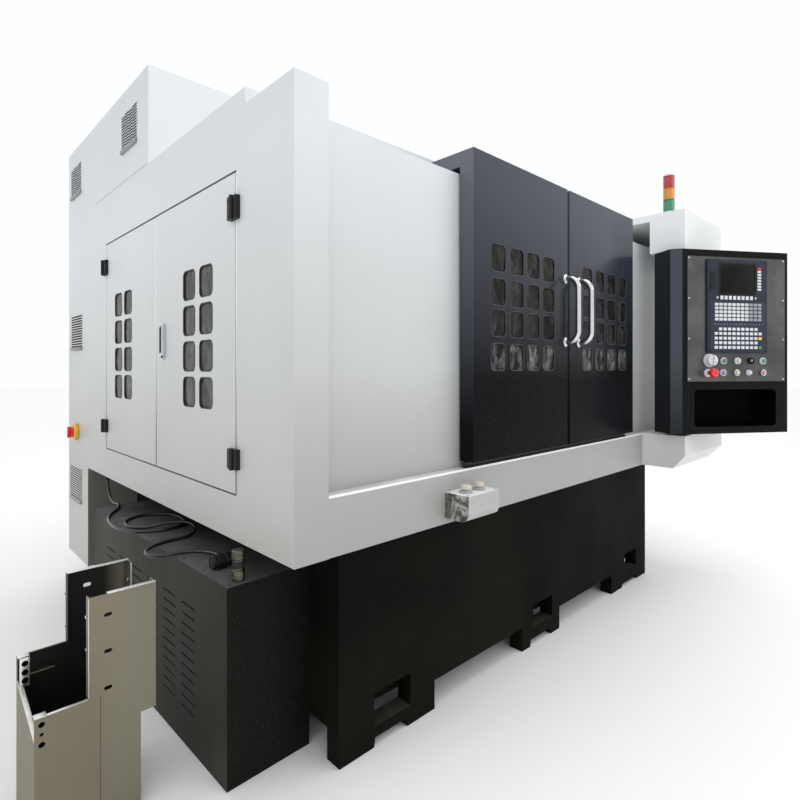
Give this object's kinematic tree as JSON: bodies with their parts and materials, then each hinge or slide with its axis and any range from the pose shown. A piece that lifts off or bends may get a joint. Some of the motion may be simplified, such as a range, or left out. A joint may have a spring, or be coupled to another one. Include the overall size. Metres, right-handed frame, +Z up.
{
  "type": "enclosed cnc lathe",
  "caption": "Enclosed CNC lathe with sliding front doors, hinged side doors, a swinging control pendant, coolant tank, rear control cabinet and chip chute.",
  "frame": {"origin": "centre of the bottom of the whole object's box, on the floor", "axes": "+X to the machine's right seen from its front, +Y to its back, +Z up"},
  "size_m": [3.169, 2.821, 2.323],
  "materials": {
    "white_paint": "satin",
    "door_paint": "semi_gloss",
    "base_paint": "satin",
    "tank_paint": "satin",
    "pendant_paint": "satin",
    "brushed_plate": "brushed",
    "unit_case": "matte",
    "window_glass": "gloss",
    "chrome": "polished",
    "galvanised": "matte",
    "black_metal": "matte",
    "chamber_paint": "satin",
    "bed_steel": "ground",
    "red_plastic": "gloss",
    "yellow_plastic": "gloss",
    "cream_plastic": "matte",
    "pale_plastic": "gloss",
    "tower_plastic": "gloss",
    "connector_plastic": "matte",
    "pipe_metal": "satin",
    "cable_sheath": "matte"
  },
  "bodies": {
    "frame": {"base_casting": "base_paint", "base_walls": "base_paint", "base_feet": "base_paint", "coolant_tank": "tank_paint", "tank_pipe": "pipe_metal", "pump_connector": "connector_plastic", "pump_cable": "cable_sheath", "cable_gland": "connector_plastic", "corner_column": "white_paint", "left_wall_sill": "white_paint", "left_wall_header": "white_paint", "left_wall_rear": "white_paint", "front_apron": "white_paint", "front_panels": "white_paint", "chamber_walls": "chamber_paint", "chamber_floor": "chamber_paint", "roof": "white_paint", "right_wall": "white_paint", "rear_wall": "white_paint", "electrical_cabinet": "white_paint", "isolator_plate": "yellow_plastic", "side_hinge_knuckles": "black_metal", "top_box": "white_paint", "top_box_cover": "white_paint", "lower_bracket": "white_paint", "tower_light": "tower_plastic", "button_box": "white_paint", "headstock": "chamber_paint", "slant_bed": "bed_steel", "chuck": "chrome", "chute_sides": "galvanised", "chute_flanges": "galvanised", "chute_bin": "galvanised"},
    "door_left": {"door_left_panel": "door_paint", "door_left_roof": "door_paint", "door_left_glass": "window_glass", "door_left_handle": "chrome"},
    "door_right": {"door_right_panel": "door_paint", "door_right_roof": "door_paint", "door_right_glass": "window_glass", "door_right_handle": "chrome"},
    "side_door_front": {"side_door_front": "white_paint", "side_door_front_glass": "window_glass", "side_door_front_hinges": "black_metal", "side_door_handle": "chrome"},
    "side_door_rear": {"side_door_rear": "white_paint", "side_door_rear_glass": "window_glass", "side_door_rear_hinges": "black_metal"},
    "pendant": {"pendant_case": "pendant_paint", "pendant_plate": "brushed_plate", "control_unit": "unit_case", "pendant_buttons": "chrome"},
    "override_knob": {"override_knob": "pale_plastic"},
    "estop_button": {"estop_button": "red_plastic"},
    "isolator_knob": {"isolator_knob": "red_plastic"},
    "button_left": {"button_left": "cream_plastic"},
    "button_right": {"button_right": "cream_plastic"}
  },
  "joints": [
    {"name": "door_left_slide", "type": "slide", "parent": "frame", "child": "door_left", "axis": [-1, 0, 0], "range_m": [0, 0.53]},
    {"name": "door_right_slide", "type": "slide", "parent": "frame", "child": "door_right", "axis": [1, 0, 0], "range_m": [0, 0.53]},
    {"name": "side_door_front_hinge", "type": "hinge", "parent": "frame", "child": "side_door_front", "pos_m": [-1.1195, -0.5695, 1.247], "axis": [0, 0, 1], "range_deg": [0, 110]},
    {"name": "side_door_rear_hinge", "type": "hinge", "parent": "frame", "child": "side_door_rear", "pos_m": [-1.1195, 0.7065, 1.247], "axis": [0, 0, -1], "range_deg": [0, 110]},
    {"name": "pendant_swing", "type": "hinge", "parent": "frame", "child": "pendant", "pos_m": [1.03088, -1.04332, 1.28], "axis": [0, 0, 1], "range_deg": [-55, 33]},
    {"name": "override_turn", "type": "hinge", "parent": "pendant", "child": "override_knob", "pos_m": [1.06504, -1.17921, 1.186], "axis": [0.5476, 0.8368, 0], "range_deg": [-120, 120]},
    {"name": "estop_press", "type": "slide", "parent": "pendant", "child": "estop_button", "axis": [0.5476, 0.8368, 0], "range_m": [0, 0.006]},
    {"name": "isolator_turn", "type": "hinge", "parent": "frame", "child": "isolator_knob", "pos_m": [-1.1235, 1.2305, 0.811], "axis": [1, 0, 0], "range_deg": [0, 90]},
    {"name": "button_left_press", "type": "slide", "parent": "frame", "child": "button_left", "axis": [0, 0, -1], "range_m": [0, 0.004], "stiffness_N_per_m": 150, "springref_m": -0.003},
    {"name": "button_right_press", "type": "slide", "parent": "frame", "child": "button_right", "axis": [0, 0, -1], "range_m": [0, 0.004], "stiffness_N_per_m": 150, "springref_m": -0.003}
  ]
}
